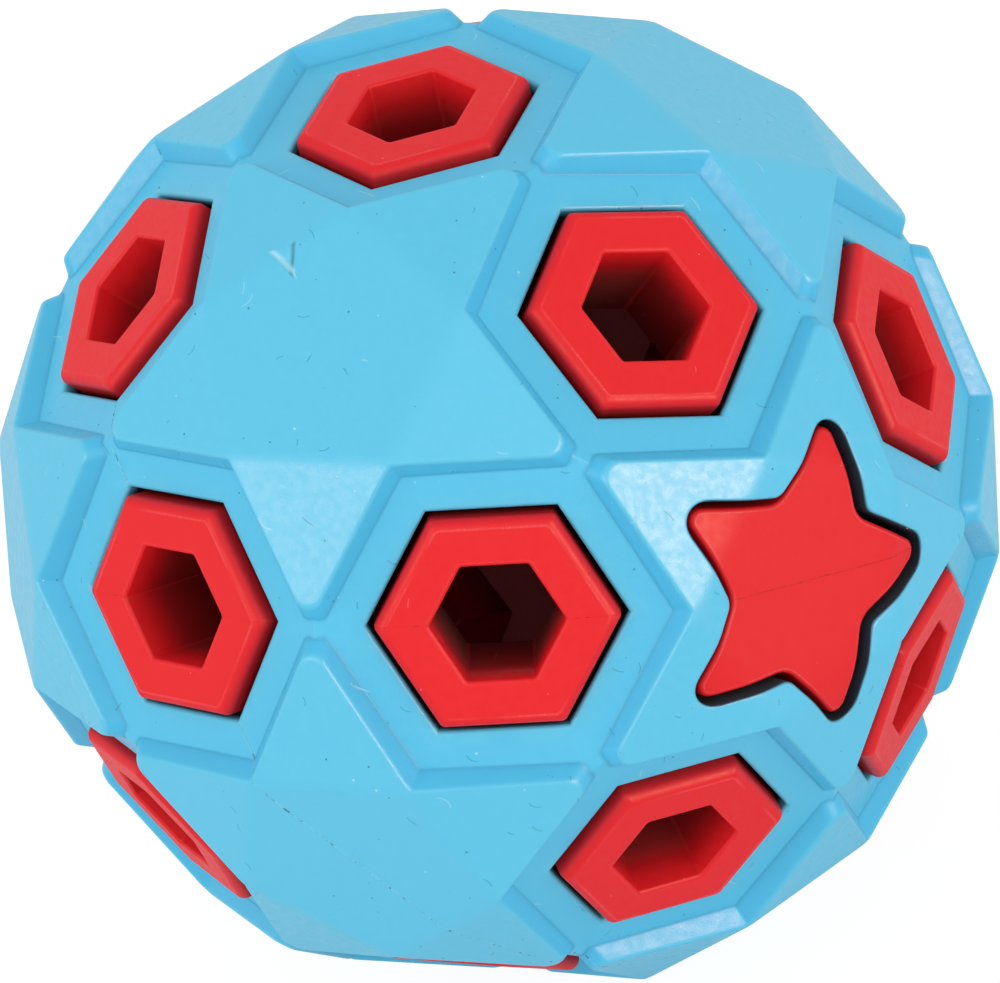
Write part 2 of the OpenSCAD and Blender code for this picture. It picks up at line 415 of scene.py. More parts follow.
shellLook = {
    "colour": paint(92, 199, 235),
    "colourPatches": paint(98, 202, 235),
    # Painted shade in the gaps round the tubes and the star, deeper down their windows
    "colourPaintedShade": paint(20, 24, 38),
    "deepFrom": 41.3, "deepTo": 40.2, "paintedShadeShare": 0.98,  # mm from the middle of the ball
    # Painted shade: pockets a deeper blue, their walls most, with a darker line along the foot of each wall
    "shades": [
        {"from": "pocketShade", "share": 1.0, "matt": 0.0, "colour": paint(62, 188, 234)},
        {"from": "foot", "share": 0.45, "matt": 0.7, "colour": paint(40, 135, 180)},
    ],
    "colourWearAndHighlight": paint(170, 226, 242), "edgeWearAndHighlight": 0.3,
    "dust": [                  # cells per mm, and how many of them hold a speck
        {"cells": 0.8, "share": 0.4, "size": 0.11, "strength": 0.8, "colour": paint(45, 110, 135)},
        {"cells": 0.5, "share": 0.32, "size": 0.08, "strength": 0.75, "colour": paint(190, 225, 230)},
        {"cells": 0.35, "share": 0.25, "size": 0.1, "strength": 0.4, "colour": paint(130, 190, 205)},
    ],
    "lint": [                  # likewise, with each fibre's half width and half length in cells
        {"cells": 0.42, "share": 0.2, "thick": 0.035, "long": 0.26,
         "strength": 0.6, "colour": paint(45, 120, 150)},
        {"cells": 0.3, "share": 0.16, "thick": 0.025, "long": 0.28,
         "strength": 0.5, "colour": paint(190, 225, 232)},
    ],
    "seam": shellSeam, "seamWide": 0.11, "seamPit": 0.16, "seamStrength": 0.6,
    "colourSeam": paint(165, 225, 240), "colourPit": paint(35, 95, 120), "pitStrength": 0.8,
    "grain": 0.9, "waves": 1.2,
    "roughness": (0.3, 0.42),
    "gloss": 0.3,
}
tubeLook = {
    "colour": paint(234, 28, 36),
    "colourPatches": paint(236, 34, 42),
    # Painted shade down the tube's hole, darker the deeper it goes
    "colourPaintedShade": paint(70, 14, 18),
    "deepFrom": 41.4, "deepTo": 36.5, "paintedShadeShare": 0.6,
    # Painted shade: the outer sides of a tube darken towards the floor of its pocket
    "shades": [{"from": "side", "share": 0.5, "matt": 0.7, "colour": paint(110, 10, 16)}],
    "colourWearAndHighlight": paint(246, 120, 125), "edgeWearAndHighlight": 0.25,
    "dust": [
        {"cells": 0.6, "share": 0.2, "size": 0.07, "strength": 0.6, "colour": paint(245, 140, 150)},
        {"cells": 0.5, "share": 0.06, "size": 0.08, "strength": 0.5, "colour": paint(120, 20, 24)},
    ],
    "lint": [
        {"cells": 0.3, "share": 0.1, "thick": 0.02, "long": 0.22,
         "strength": 0.35, "colour": paint(245, 140, 150)},
    ],
    "seam": coreSeam, "seamWide": 0.1, "seamPit": 0.03, "seamStrength": 0.06,
    "colourSeam": paint(150, 14, 22), "colourPit": paint(120, 12, 18), "pitStrength": 0.8,
    "grain": 0.7, "waves": 0.8,
    "roughness": (0.42, 0.52),
    "gloss": 0.2,
}
starLook = tubeLook | {"seamWide": 0.12, "seamPit": 0.03, "seamStrength": 0.22}
# Painted light: the core is a paler red than the rubber, so the hollow seen through the holes is less dark;
# its painted shade is turned off
coreLightenedLook = tubeLook | {
    "colour": paint(196, 110, 112),
    "colourPatches": paint(202, 116, 118),
    "colourPaintedShade": paint(196, 110, 112),
    "dust": [], "lint": [],
}
shellRubber = makeRubber("blueRubber", shellLook)
tubeRubber = makeRubber("redRubber", tubeLook)
starRubber = makeRubber("redRubberStar", starLook)
coreRubber = makeRubber("redRubberInsideLightened", coreLightenedLook)
print("materials made")


# A net of points, each put where the given rule says
def layNet(columns, rows, rule):
    net = bmesh.new()
    bmesh.ops.create_grid(net, x_segments=columns - 1, y_segments=rows - 1, size=1)
    for v in net.verts:
        column = round((v.co.x + 1) / 2 * (columns - 1))
        row = round((v.co.y + 1) / 2 * (rows - 1))
        v.co = rule(column, row)
    return net


# Turned copies of a mesh, gathered in one and merged
def gatherCopies(sources, turns):
    gathered = bmesh.new()
    for source in sources:
        part = bpy.data.meshes.new("part")
        source.to_mesh(part)
        for turn in turns:
            start = len(gathered.verts)
            gathered.from_mesh(part)
            gathered.verts.ensure_lookup_table()
            bmesh.ops.transform(gathered, matrix=turn, verts=gathered.verts[start:])
        bpy.data.meshes.remove(part)
        source.free()
    bmesh.ops.remove_doubles(gathered, verts=gathered.verts, dist=samePlace)
    return gathered


def openEdges(mesh):
    return len([e for e in mesh.edges if not e.is_manifold])


# Cuts faces, or the whole mesh, along a plane, and gives the points and edges on the cut
def cutAlong(mesh, point, normal, faces=None, clear=False):
    faces = mesh.faces[:] if faces is None else faces
    edges = dict.fromkeys(e for f in faces for e in f.edges)
    points = dict.fromkeys(v for f in faces for v in f.verts)
    return bmesh.ops.bisect_plane(
        mesh, geom=[*faces, *edges, *points], dist=onCut,
        plane_co=point, plane_no=normal, clear_inner=clear,
    )["geom_cut"]


# Draws the fine joint line of two mouldings round a mesh that their seam runs through
def grooveSeam(mesh, axis, wide, deep):
    sides = [v.co.dot(axis) - ball["seamShift"] for v in mesh.verts]
    if min(sides) > -wide or max(sides) < wide:
        return
    for shift in (-wide / 2, wide / 2, 0):
        cut = cutAlong(mesh, axis * (ball["seamShift"] + shift), axis)
    mesh.normal_update()
    for v in {g for g in cut if isinstance(g, bmesh.types.BMVert)}:
        v.co -= v.normal * deep


evenWeight = 90                # how much more a wide face counts than a narrow one in the shading


# Makes a finished piece of a mesh round the ball's middle, in place of a node, which it hides
def finishPiece(name, mesh, material, replaced):
    bmesh.ops.recalc_face_normals(mesh, faces=mesh.faces)
    for f in mesh.faces:
        f.smooth = True
    bmesh.ops.translate(mesh, vec=ballMiddle, verts=mesh.verts)
    data = bpy.data.meshes.new(name)
    mesh.to_mesh(data)
    mesh.free()
    data.materials.append(material)
    piece = bpy.data.objects.new(name, data)
    bpy.context.scene.collection.objects.link(piece)
    flatter = piece.modifiers.new("evenFaces", "WEIGHTED_NORMAL")
    flatter.weight = evenWeight
    flatter.keep_sharp = True
    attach(piece, "root")
    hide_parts(replaced)
    return piece


# Planes of a flat's surroundings, as seen with the flat on top: each is (normal, distance from the middle)
flatStep = acos(1 / sqrt(5))
flatHigh = sqrt((ball["across"] / 2) ** 2 - ball["flatReach"] ** 2)
flatEdge = ball["flatReach"] * cos(pi / 5)
lean = radians(ball["spikeLean"])
spikeHigh = flatHigh * cos(lean) + flatEdge * sin(lean)
cornerHigh = flatHigh * cos(flatPolar[0]) + ball["flatReach"] * sin(flatPolar[0])
cornerReach = flatHigh * sin(flatPolar[0]) - ball["flatReach"] * cos(flatPolar[0])
peakHigh = spikeHigh / (cos(lean) * cos(flatPolar[0]) + sin(lean) * sin(flatPolar[0]) * cos(pi / 5))
floorHigh = cornerHigh - ball["pocketDeep"]
pocketSlope = ball["pocketRun"] / ball["pocketDeep"]
rimReach = cornerReach - ball["cornerLand"]
rimHigh = cornerHigh + ball["cornerLand"] * (peakHigh - cornerHigh) / cornerReach

# The tip of a spike, as seen from a tube beside it
tipTurn = flatStep / 2 - lean
tipHigh = (spikeHigh - sin(tipTurn) * ball["tipGap"] / 2) / cos(tipTurn)
tipAlong = tipHigh * sin(tubePolar[0] / 2)
tipPoint = Vector((
    tipAlong * cos(pi / 3) + ball["tipGap"] / 2 * sin(pi / 3),
    tipAlong * sin(pi / 3) - ball["tipGap"] / 2 * cos(pi / 3),
    tipHigh * cos(tubePolar[0] / 2),
))
toTip = Vector((rimReach - tipPoint.x, -tipPoint.y))
wallTurn = acos(pocketSlope * (rimHigh - tipPoint.z) / toTip.length) + atan2(toTip.y, toTip.x)
footReach = rimReach * cos(wallTurn) - pocketSlope * (rimHigh - floorHigh)

tubeBody = {
    "across": 20.8 * mm,       # corner to corner
    "holeAcross": 11.46 * mm,  # corner to corner
    "rise": 1.26 * mm,         # above the floor of its pocket
    "sideRound": 0.5 * mm,     # rounding of the upright corners
    "holeSideRound": 0.4 * mm,
    "topRound": 0.85 * mm,     # rounding of the end's outer edge
    "holeRound": 0.3 * mm,
    "steps": 6,                # faces across a rounding
    "landInset": 0.12 * mm,    # a narrow strip beside the roundings that keeps the end looking flat
    "holeWearAndHighlight": 0.4,           # of the hole's lip beside the outer one's
    "seamWide": 0.14 * mm,     # the fine line where the core's halves meet
    "seamRise": 0.02 * mm,
}
windowReach = tubeBody["across"] / 2 + ball["windowGap"] / cos(pi / 6)
shellInside = floorHigh - ball["shellThick"]
coreReach = shellInside - ball["corePlay"]
cavityReach = coreReach - ball["coreThick"]

flatPlane = (Vector((0, 0, 1)), flatHigh)
spikePlanes = [(aim(lean, radians(72 * i)), spikeHigh) for i in range(5)]


def planeMeet(direction, plane):
    share = plane[0].dot(direction)
    return plane[1] / share if share > 0 else farOff


def softMin(a, b, soft):
    near = max(soft - abs(a - b), 0) / soft
    return min(a, b) - near * near * soft / 4


def softMax(a, b, soft):
    return -softMin(-a, -b, soft)


shellBody = {
    "creaseSoft": 0.3 * mm,    # flat to spike
    "rimSoft": 0.42 * mm,      # spike to pocket wall
    "footSoft": 0.2 * mm,      # pocket wall to floor
    "cornerSoft": 0.25 * mm,   # pocket wall to pocket wall
    "ridgeSoft": 0.12 * mm,    # floor to floor, between two noses
    "windowRound": 0.4 * mm,
    "starWindowRound": 0.35 * mm,
    "seamWide": 0.12 * mm,
    "seamDeep": 0.05 * mm,
    "seamReach": 0.1 * mm,     # below the floor of a pocket, as far as the seam shows
}

# The surroundings repeat ten times round a flat, so the rules below look at one tenth, from the bridge
# to the next flat round to the first tube
sector = pi / 5
topFlat, nextFlat = Vector((0, 0, 1)), aim(flatStep, 0)
bridge = aim(flatStep / 2, 0)
pocketAxis = aim(flatPolar[0], sector)
floorPlane = (pocketAxis, floorHigh)
mirrorFloor = (aim(flatPolar[0], -sector), floorHigh)
toFlat = (topFlat - topFlat.dot(pocketAxis) * pocketAxis).normalized()
toBridge = (bridge - bridge.dot(pocketAxis) * pocketAxis).normalized()


# A pocket's wall leans out from the floor; a ray from the middle leaves the shell where it goes through it
def pocketWall(side):
    outward = cos(wallTurn) * toFlat + side * sin(wallTurn) * pocketAxis.cross(toFlat)
    return pocketSlope * pocketAxis - outward, pocketSlope * floorHigh - footReach


bridgeSide = 1 if toBridge.dot(pocketAxis.cross(toFlat)) > 0 else -1
wallPlane, farWall = pocketWall(bridgeSide), pocketWall(-bridgeSide)

# The nose of a spike: a round between its two walls, seen along the bridge, that leaves the neck its width
onward = (nextFlat - nextFlat.dot(bridge) * bridge).normalized()
wallSide, wallOn, wallUp = wallPlane[0].y, wallPlane[0].dot(onward), wallPlane[0].dot(bridge)
noseHalf = atan2(wallOn, wallSide)
neckHigh = floorHigh / cos(tubePolar[0] / 2)
sharpFoot = (wallPlane[1] - wallUp * neckHigh) / wallOn
noseRound = (sharpFoot + ball["neckWide"] / 2) / (1 / sin(noseHalf) - 1)
noseMiddle = wallPlane[1] / wallOn - noseRound / sin(noseHalf)


def noseReach(direction):
    wall = planeMeet(direction, wallPlane)
    going = direction.dot(onward) + wallUp / wallOn * direction.dot(bridge)
    square = direction.y ** 2 + going ** 2
    inside = (going * noseMiddle) ** 2 - square * (noseMiddle ** 2 - noseRound ** 2)
    if inside <= 0:
        return wall
    reach = (going * noseMiddle + sqrt(inside)) / square
    before = reach * going - noseMiddle
    return reach if reach * abs(direction.y) * tan(noseHalf) < before else wall


# Top, floor and wall over a direction, as distances from the middle of the ball
def skinParts(direction):
    turn = abs((atan2(direction.y, direction.x) + sector) % (2 * sector) - sector)
    out = hypot(direction.x, direction.y)
    folded = Vector((out * cos(turn), out * sin(turn), direction.z))
    crease = shellBody["creaseSoft"]
    spike = softMin(planeMeet(folded, spikePlanes[0]), planeMeet(folded, spikePlanes[1]), crease)
    top = softMin(planeMeet(folded, flatPlane), spike, crease)
    floor = softMin(planeMeet(folded, floorPlane), planeMeet(folded, mirrorFloor), shellBody["ridgeSoft"])
    wall = softMax(noseReach(folded), planeMeet(folded, farWall), shellBody["cornerSoft"])
    return top, floor, wall


# How far the shell's outside lies from the middle of the ball in a direction, seen with a flat on top
def skinReach(direction):
    top, floor, wall = skinParts(direction)
    return softMin(top, softMax(floor, wall, shellBody["footSoft"]), shellBody["rimSoft"])


# Where a ray from the flat's middle crosses a line through the middle of the ball, given by its plane
def lineCut(line, turn):
    return -line.z / (line.x * cos(turn) + line.y * sin(turn))


bridgeLine = pocketAxis.cross(bridge)

# The side of the window that faces the spike: its normal, and the way along it from the bridge to the flat
windowOut = (toFlat + toBridge).normalized()
windowAlong = (toFlat - toBridge).normalized()
windowEdge = windowReach * cos(pi / 6)
windowOuter = windowEdge + shellBody["windowRound"]
windowLine = windowOuter * pocketAxis - floorHigh * windowOut


# A point beside the window: distance from the tube's axis, turn round it, height above the ball's middle
def besideWindow(out, turn, high):
    return pocketAxis * high + windowOut * out + windowAlong * out * tan(turn)


bridgeCorner = besideWindow(windowOuter, -pi / 6, floorHigh)
bridgeTurn = atan2(bridgeCorner.y, bridgeCorner.x)

# Columns of the net: close together round the nose, then wider to the window, then along the window's side
noseColumns = 9
noseFar = neckHigh * sin(flatStep / 2) - (noseRound + ball["neckWide"] / 2) * cos(flatStep / 2)
noseAngles = [(pi / 2 - noseHalf) * i / noseColumns for i in range(noseColumns + 1)]
columnTurns = [atan(noseRound * sin(angle) / noseFar) for angle in noseAngles]
noseTurn = columnTurns[-1]
bridgeShares = (0.05, 0.13, 0.24, 0.38, 0.55, 0.76, 1)
columnTurns += [noseTurn + share * (bridgeTurn - noseTurn) for share in bridgeShares]
firstWindow = len(columnTurns) - 1
windowShares = (0.1, 0.22, 0.34, 0.46, 0.58, 0.7, 0.8, 0.87, 0.92, 0.95, 0.97, 0.985, 0.995, 1)
columnTurns += [bridgeTurn + share * (sector - bridgeTurn) for share in windowShares]
hair = 1e-9                    # so that rounding of the turns moves no column to the other side
halvings = 30                  # in which the place of a crease is found
settleRounds = 6               # in which a height over a plan settles


def rayAlong(t, turn):
    return Vector((t * cos(turn), t * sin(turn), 1)).normalized()


def rayPoint(t, turn):
    direction = rayAlong(t, turn)
    return direction * skinReach(direction)


def creaseLeft(direction):
    return planeMeet(direction, spikePlanes[0]) - planeMeet(direction, flatPlane)


def rimLeft(direction):
    top, floor, wall = skinParts(direction)
    return max(floor, wall) - top


def footLeft(direction):
    top, floor, wall = skinParts(direction)
    return wall - floor


turnings = [
    (creaseLeft, shellBody["creaseSoft"]),
    (rimLeft, shellBody["rimSoft"]),
    (footLeft, shellBody["footSoft"]),
]


rowShares = {                  # places of rows, as shares of a facet's length
    "flat": (0.5, 0.9),
    "spike": (0.35, 0.65),
    "floor": (0.5, 1),
    "nearest": 0.48,           # no row beside a crease goes further towards the next one
    "probe": 0.0005,           # to either side of a crease, of the height, to see how fast it falls
    "turned": (-2.2, -1, -0.6, -0.2, 0.2, 0.6, 1, 2.2),  # beside a crease, in widths of its rounding
}


# Places of the rows along a ray from the flat's middle, close together where the surface turns
def rowPlaces(turn, start):
    end = lineCut(windowLine if turn > bridgeTurn - hair else bridgeLine, turn)
    cuts, steps = [0], []
    for left, soft in turnings:
        low, high = cuts[-1], end
        for halving in range(halvings):
            middle = (low + high) / 2
            low, high = (middle, high) if left(rayAlong(middle, turn)) > 0 else (low, middle)
        probe = rowShares["probe"]
        fall = (left(rayAlong(low - probe, turn)) - left(rayAlong(low + probe, turn))) / (2 * probe)
        cuts.append(low)
        steps.append(soft / fall)
    cuts.append(end)
    places = [share * cuts[1] for share in rowShares["flat"]]
    places += [cuts[1] + share * (cuts[2] - cuts[1]) for share in rowShares["spike"]]
    for before, here, after, step in zip(cuts, cuts[1:], cuts[2:], steps):
        low, high = rowShares["nearest"] * (before - here), rowShares["nearest"] * (after - here)
        places += [here + min(max(share * step, low), high) for share in rowShares["turned"]]
    last = max(places)
    places += [last + share * (end - last) for share in rowShares["floor"]]
    return sorted(max(place, start) for place in places)


# Plan of a star's outline, grown by some width: a round tip, a straight side and a round hollow
star = {
    "tipReach": 14.3 * mm,      # middle to a tip, as if it were sharp
    "hollowReach": 7.6 * mm,    # middle to a hollow, as if it were sharp
    "tipRound": 1.1 * mm,
    "hollowRound": 2.4 * mm,
    "drop": 0.6 * mm,           # its face below the shell's surface
    "gap": 0.65 * mm,           # between it and its window
    "edgeRound": 0.35 * mm,
    "creaseSoft": 0.5 * mm,
    "landInset": 0.12 * mm,
    "seamWide": 0.14 * mm,
    "seamDeep": 0.05 * mm,
}


def rayToCircle(middle, radius, turn, nearSide):
    along = middle.x * cos(turn) + middle.y * sin(turn)
    off = middle.length_squared - along * along
    if off > radius * radius:
        return None
    return along + (-1 if nearSide else 1) * sqrt(radius * radius - off)


def starReach(turn, grow):
    turn = abs((turn + sector) % (2 * sector) - sector)
    tip = Vector((star["tipReach"], 0))
    hollow = Vector((cos(sector), sin(sector)))
    side = (hollow * star["hollowReach"] - tip).normalized()
    sideOut = Vector((side.y, -side.x))
    straight = (sideOut.dot(tip) + grow) / sideOut.dot(Vector((cos(turn), sin(turn))))
    tipMiddle = tip + Vector((-1, 0)) * star["tipRound"] / abs(side.y)
    spread = abs(side.x * hollow.y - side.y * hollow.x)
    hollowMiddle = hollow * (star["hollowReach"] + star["hollowRound"] / spread)
    touchTip = tipMiddle + sideOut * (star["tipRound"] + grow)
    touchHollow = hollowMiddle - sideOut * (star["hollowRound"] - grow)
    if turn < atan2(touchTip.y, touchTip.x):
        return rayToCircle(tipMiddle, star["tipRound"] + grow, turn, False)
    if turn > atan2(touchHollow.y, touchHollow.x):
        return rayToCircle(hollowMiddle, star["hollowRound"] - grow, turn, True)
    return straight


# Where the shell's surface stands over a point of the plan of its flat
def skinOver(reach, turn):
    high = flatHigh
    for settling in range(settleRounds):
        direction = Vector((reach * cos(turn), reach * sin(turn), high)).normalized()
        high = (direction * skinReach(direction)).z
    return high


roundSteps = 5
quarter = [pi / 2 * i / roundSteps for i in range(roundSteps + 1)]
innerShares = (0, 0.3, 0.6, 0.85, 1)


# Painted shade in the pockets
pocketShade = {
    "wall": 0.55,              # painted shade: how much deeper the blue of a pocket's wall is
    "floor": 0.25,
    "footWide": 0.25 * mm,     # of the painted shade line at the foot of the walls, to either side
}


# Marks painted shade in a net: pocket floors and walls, and a line along the foot of each wall
def paintPocketShade(net):
    pocketShadeLayer, footShadeLayer = net.verts.layers.float.new("pocketShade"), net.verts.layers.float.new("foot")
    for v in net.verts:
        top, floor, wall = skinParts(v.co.normalized())
        sunk = min(max((top - max(floor, wall)) / shellBody["rimSoft"], 0), 1)
        steep = min(max((wall - floor) / pocketShade["footWide"], -1), 1)
        v[pocketShadeLayer] = sunk * (pocketShade["floor"] + (pocketShade["wall"] - pocketShade["floor"]) * (steep + 1) / 2)
        v[footShadeLayer] = sunk * (1 - abs(steep))


# The nets of a tenth of a flat's surroundings: outside, window walls and inside
def layTenth(withStar):
    starts = []
    for turn in columnTurns:
        outer = starReach(turn, star["gap"] + shellBody["starWindowRound"])
        starts.append(outer / skinOver(outer, turn) if withStar else 0)
    places = [rowPlaces(turn, start) for turn, start in zip(columnTurns, starts)]
    nets = [layNet(len(places), len(places[0]), lambda i, j: rayPoint(places[i][j], columnTurns[i]))]
    paintPocketShade(nets[0])

    windowTurns = []
    for turn in columnTurns[firstWindow:]:
        edge = rayPoint(lineCut(windowLine, turn), turn)
        windowTurns.append(atan2(edge.dot(windowAlong), edge.dot(windowOut)))
    windowTurns[0], windowTurns[-1] = -pi / 6, pi / 6
    wallShares = (0.3, 0.65, 1)

    def windowPoint(i, j):
        turn = windowTurns[i]
        if j <= roundSteps:
            radius = shellBody["windowRound"]
            edge = rayPoint(lineCut(windowLine, columnTurns[firstWindow + i]), columnTurns[firstWindow + i])
            sunk = floorHigh - edge.dot(pocketAxis)
            out = windowEdge + radius * (1 - sin(quarter[j]))
            down = sunk * (1 - j / roundSteps) + radius * (1 - cos(quarter[j]))
            return besideWindow(out, turn, floorHigh - down)
        top = floorHigh - shellBody["windowRound"]
        bottom = sqrt(shellInside ** 2 - (windowEdge / cos(turn)) ** 2)
        return besideWindow(windowEdge, turn, top + (bottom - top) * wallShares[j - roundSteps - 1])

    windowRows = roundSteps + 1 + len(wallShares)
    nets.append(layNet(len(windowTurns), windowRows, windowPoint))

    cornerBottom = windowPoint(0, windowRows - 1)
    insides = []
    for i in range(firstWindow):
        y = cornerBottom.y / cornerBottom.z * i / firstWindow
        x = cornerBottom.x / cornerBottom.z
        insides.append((hypot(x, y), atan2(y, x)))
    for i in range(len(windowTurns)):
        low = windowPoint(i, windowRows - 1)
        insides.append((hypot(low.x, low.y) / low.z, atan2(low.y, low.x)))

    def insidePoint(i, j):
        t, turn = insides[i]
        inner, innerTurn = 0, columnTurns[i]
        if withStar:
            reach = starReach(columnTurns[i], star["gap"])
            inner = reach / sqrt(shellInside ** 2 - reach ** 2)
        share = innerShares[j]
        first = Vector((t * cos(turn), t * sin(turn), 1))
        last = Vector((inner * cos(innerTurn), inner * sin(innerTurn), 1))
        return first.lerp(last, share).normalized() * shellInside

    nets.append(layNet(len(insides), len(innerShares), insidePoint))
    if withStar:
        def starWallPoint(i, j):
            turn, radius = columnTurns[i], shellBody["starWindowRound"]
            if j <= roundSteps:
                reach = starReach(turn, star["gap"] + radius * (1 - sin(quarter[j])))
                high = skinOver(reach, turn) - radius * (1 - cos(quarter[j]))
            else:
                reach = starReach(turn, star["gap"])
                top, bottom = skinOver(reach, turn) - radius, sqrt(shellInside ** 2 - reach ** 2)
                high = top + (bottom - top) * wallShares[j - roundSteps - 1]
            return Vector((reach * cos(turn), reach * sin(turn), high))

        nets.append(layNet(len(columnTurns), windowRows, starWallPoint))
    return nets


mirrored = Matrix.Scale(-1, 4, (0, 1, 0))
tenths = [Matrix.Rotation(2 * sector * i, 4, "Z") @ flip for i in range(5) for flip in (Matrix(), mirrored)]


def makeShell():
    starFlats = [f for f in flats if abs(f.dot(flats[3])) > 0.9]  # the front star's and the opposite one
    plainFlats = [f for f in flats if f not in starFlats]
    whole = gatherCopies(layTenth(False), [turnTo(f) @ tenth for f in plainFlats for tenth in tenths])
    withStars = gatherCopies(layTenth(True), [turnTo(f) @ tenth for f in starFlats for tenth in tenths])
    joined = gatherCopies([whole, withStars], [Matrix()])
    bmesh.ops.holes_fill(joined, edges=[e for e in joined.edges if e.is_boundary], sides=0)
    # Painted shade down the star's window, rising over the rounding of its edge
    paintedShadeLayer = joined.verts.layers.float.new("sunk")
    window = star["gap"] + shellBody["starWindowRound"]
    for axis in starFlats:
        flatTurn = turnTo(axis).transposed()
        for v in joined.verts:
            if v.co.dot(axis) > 0:
                seen = flatTurn @ v.co
                into = starReach(atan2(seen.y, seen.x), window) - hypot(seen.x, seen.y)
                v[paintedShadeLayer] = min(max(into / shellBody["starWindowRound"], 0), 1) ** 3
    return joined


# A nick in the front flat: a small three-cornered place beside a crease that has been pressed in
nick = {
    "flat": flats[0],
    "corners": ((2.7 * mm, 10.2 * mm), (4.9 * mm, 8.6 * mm), (2.6 * mm, 6.6 * mm)),
    "deep": 0.4 * mm,
    "walls": (1.7 * mm, 0.6 * mm, 0.75 * mm),  # run of the slope along each side, the crease's first
    "shade": 0.55,             # painted shade on the slope that faces away from the crease
    "scuff": 0.95,             # of the slope that is rubbed pale
    "reach": 6 * mm,           # faces as near as this are cut
}


def pressNick(mesh):
    paintedShadeLayer, scuffLayer = mesh.verts.layers.float["sunk"], mesh.verts.layers.float.new("scuff")
    up = nick["flat"]
    corners = [turnTo(up) @ Vector((x, y, flatHigh)) for x, y in nick["corners"]]
    sides = []
    for i, wall in enumerate(nick["walls"]):
        start, end, opposite = (corners[(i + step) % 3] for step in range(3))
        inward = up.cross(end - start).normalized()
        sides.append((start, inward if inward.dot(opposite - start) > 0 else -inward, wall))

    def nearFaces():
        return [f for f in mesh.faces if (f.calc_center_median() - corners[2]).length < nick["reach"]]

    for start, inward, wall in sides:
        for shift in (0, wall / 2, wall):
            cutAlong(mesh, start + inward * shift, inward, nearFaces())
    points = {v for f in nearFaces() for v in f.verts}
    inside = {v: [(v.co - start).dot(inward) for start, inward, wall in sides] for v in points}
    pressed = {v: offs for v, offs in inside.items() if min(offs) > -samePlace}
    for e in {e for v in pressed for e in v.link_edges}:
        for side, (start, inward, wall) in enumerate(sides):
            for shift in (0, wall) if side else ():
                if all(v in pressed and abs(pressed[v][side] - shift) < samePlace for v in e.verts):
                    e.smooth = False
    for v, offs in pressed.items():
        shares = [min(max(off / side[2], 0), 1) for off, side in zip(offs, sides)]
        v.co -= up * nick["deep"] * min(shares)
        # Painted shade on one slope, and pale wear on another
        v[paintedShadeLayer] = nick["shade"] * (1 - abs(2 * shares[1] - 1))
        v[scuffLayer] = nick["scuff"] * (1 - abs(2 * shares[2] - 1))


def cutHalf(whole, side):
    half = whole.copy()
    away = shellSeam * side
    for shift, clear in ((shellBody["seamWide"] / 2, False), (0, True)):
        cut = cutAlong(half, shellSeam * ball["seamShift"] + away * shift, away, clear=clear)
    loops = [g for g in cut if isinstance(g, bmesh.types.BMEdge)]
    bmesh.ops.triangle_fill(half, use_beauty=True, edges=loops, normal=away)
    for v in {v for e in loops for v in e.verts}:
        if v.co.length > floorHigh - shellBody["seamReach"]:
            v.co -= v.co.normalized() * shellBody["seamDeep"]
    return half


wholeShell = makeShell()
pressNick(wholeShell)
print("shell:", len(wholeShell.verts), "points,", openEdges(wholeShell), "open edges")
shellHalves = []
for name, side in (("shell_half_front", 1), ("shell_half_rear", -1)):
    half = cutHalf(wholeShell, side)
    print(name, len(half.faces), "faces,", openEdges(half), "open edges")
    shellHalves.append(finishPiece(name + "_skin", half, shellRubber, name))
wholeShell.free()


